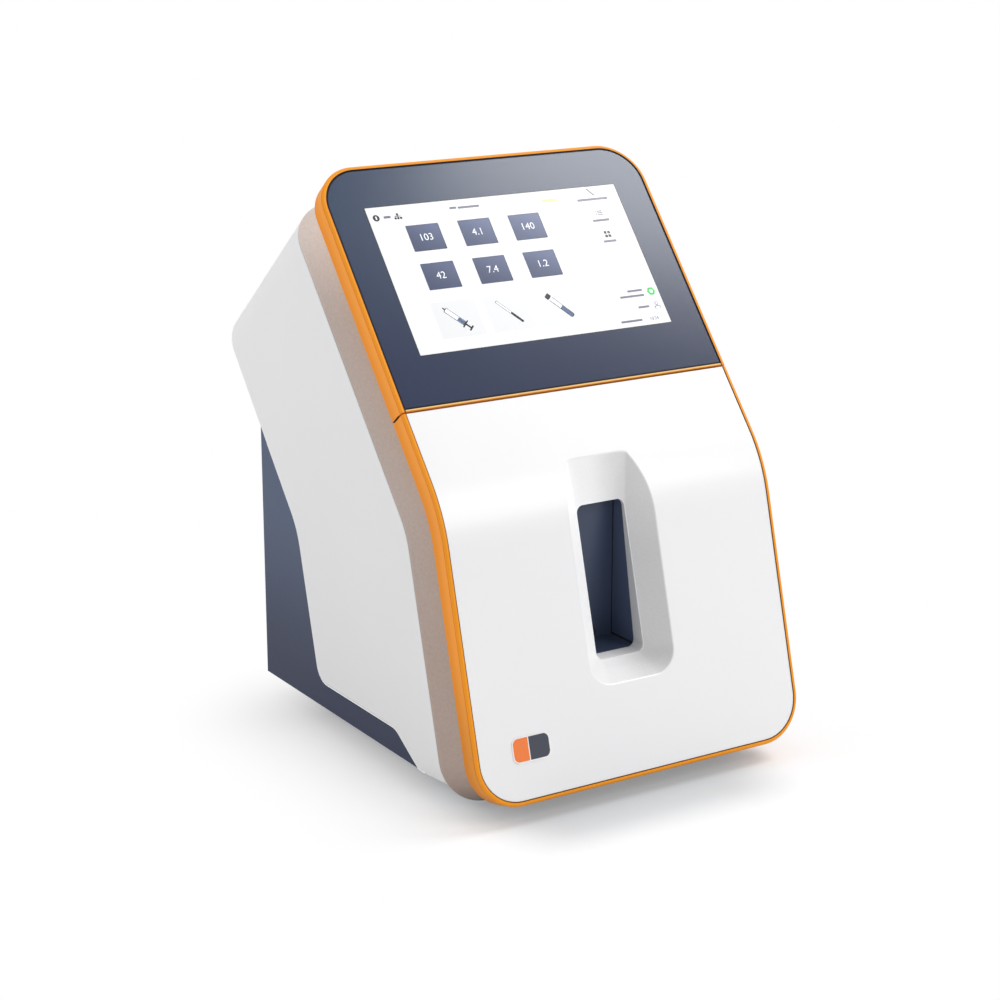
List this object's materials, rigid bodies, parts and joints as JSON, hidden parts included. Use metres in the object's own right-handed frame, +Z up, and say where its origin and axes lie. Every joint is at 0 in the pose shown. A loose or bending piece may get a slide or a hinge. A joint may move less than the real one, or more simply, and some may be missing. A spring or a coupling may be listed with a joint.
{
  "type": "electrolyte analyzer",
  "caption": "Compact bench electrolyte analyzer with a leaning touch screen, a hinged front door with a flared sample opening and an orange rim.",
  "frame": {"origin": "middle of the footprint of the bounding box, on the table", "axes": "+Z up from the table, +X to the right of a person facing the screen, front towards -Y"},
  "size_m": [0.199, 0.2768, 0.3035],
  "materials": {
    "white_shell": "smooth gloss white moulding",
    "orange_trim": "smooth gloss orange moulding",
    "shoulder_grey": "fine matte warm grey moulding",
    "navy_base": "fine matte dark blue moulding",
    "bay_navy": "dark blue satin moulding",
    "screen_glass": "glossy dark cover glass",
    "badge": "plain printed two-colour label plate",
    "display": "display module",
    "circuit": "green circuit board",
    "dark_plastic": "black moulding",
    "rubber_black": "soft black rubber",
    "steel": "machined steel",
    "magnet": "nickel-plated magnet",
    "zinc_screw": "zinc-plated screw",
    "pump_grey": "grey moulding",
    "silicone": "milky silicone tube",
    "motor_case": "motor case",
    "cartridge": "light grey cartridge moulding",
    "pack_film": "white carton and film pack",
    "supply_case": "folded steel case"
  },
  "bodies": {
    "housing": {"display_frame": "orange_trim", "touch_glass": "screen_glass", "lcd_panel": "display", "display_board": "circuit", "display_spacers": "steel", "front_carrier": "shoulder_grey", "strike_plates": "steel", "rear_housing": "white_shell", "base_tray": "navy_base", "feet": "rubber_black", "base_screws": "zinc_screw", "body_hinge_leaves": "steel", "hinge_pins": "steel", "sample_bay": "bay_navy", "probe_seal": "rubber_black", "probe_frame": "steel", "probe_rods": "steel", "probe_drive": "motor_case", "pump_body": "pump_grey", "pump_cover": "pump_grey", "pump_tube": "silicone", "pump_motor": "motor_case", "pinch_valves": "dark_plastic", "sensor_cartridge": "cartridge", "fluid_pack": "pack_film", "board_posts": "steel", "main_board": "circuit", "usb_ports": "steel", "network_port": "steel", "power_supply": "supply_case", "power_inlet": "dark_plastic", "switch_frame": "dark_plastic"},
    "door": {"door_frame": "orange_trim", "door_panel": "white_shell", "badge_plate": "badge", "door_liner": "shoulder_grey", "door_magnets": "magnet", "door_hinge_leaves": "steel"},
    "probe": {"probe_carriage": "dark_plastic", "probe_needle": "steel"},
    "rotor": {"pump_rotor": "dark_plastic"},
    "rocker": {"switch_rocker": "dark_plastic"}
  },
  "joints": [
    {"name": "door_swing", "type": "hinge", "parent": "housing", "child": "door", "pos_m": [0.0954, -0.08609, 0.149], "axis": [0, 0.2605, 0.9655], "range_deg": [0, 105]},
    {"name": "probe_slide", "type": "slide", "parent": "housing", "child": "probe", "axis": [0, -1, 0], "range_m": [0, 0.032]},
    {"name": "pump_turn", "type": "hinge", "parent": "housing", "child": "rotor", "pos_m": [-0.054, -0.0763, 0.10699], "axis": [0, -0.9655, 0.2605], "continuous": true},
    {"name": "rocker_tip", "type": "hinge", "parent": "housing", "child": "rocker", "pos_m": [0.062, 0.0914, 0.105], "axis": [0, 0, 1], "range_deg": [-20, 0]}
  ]
}
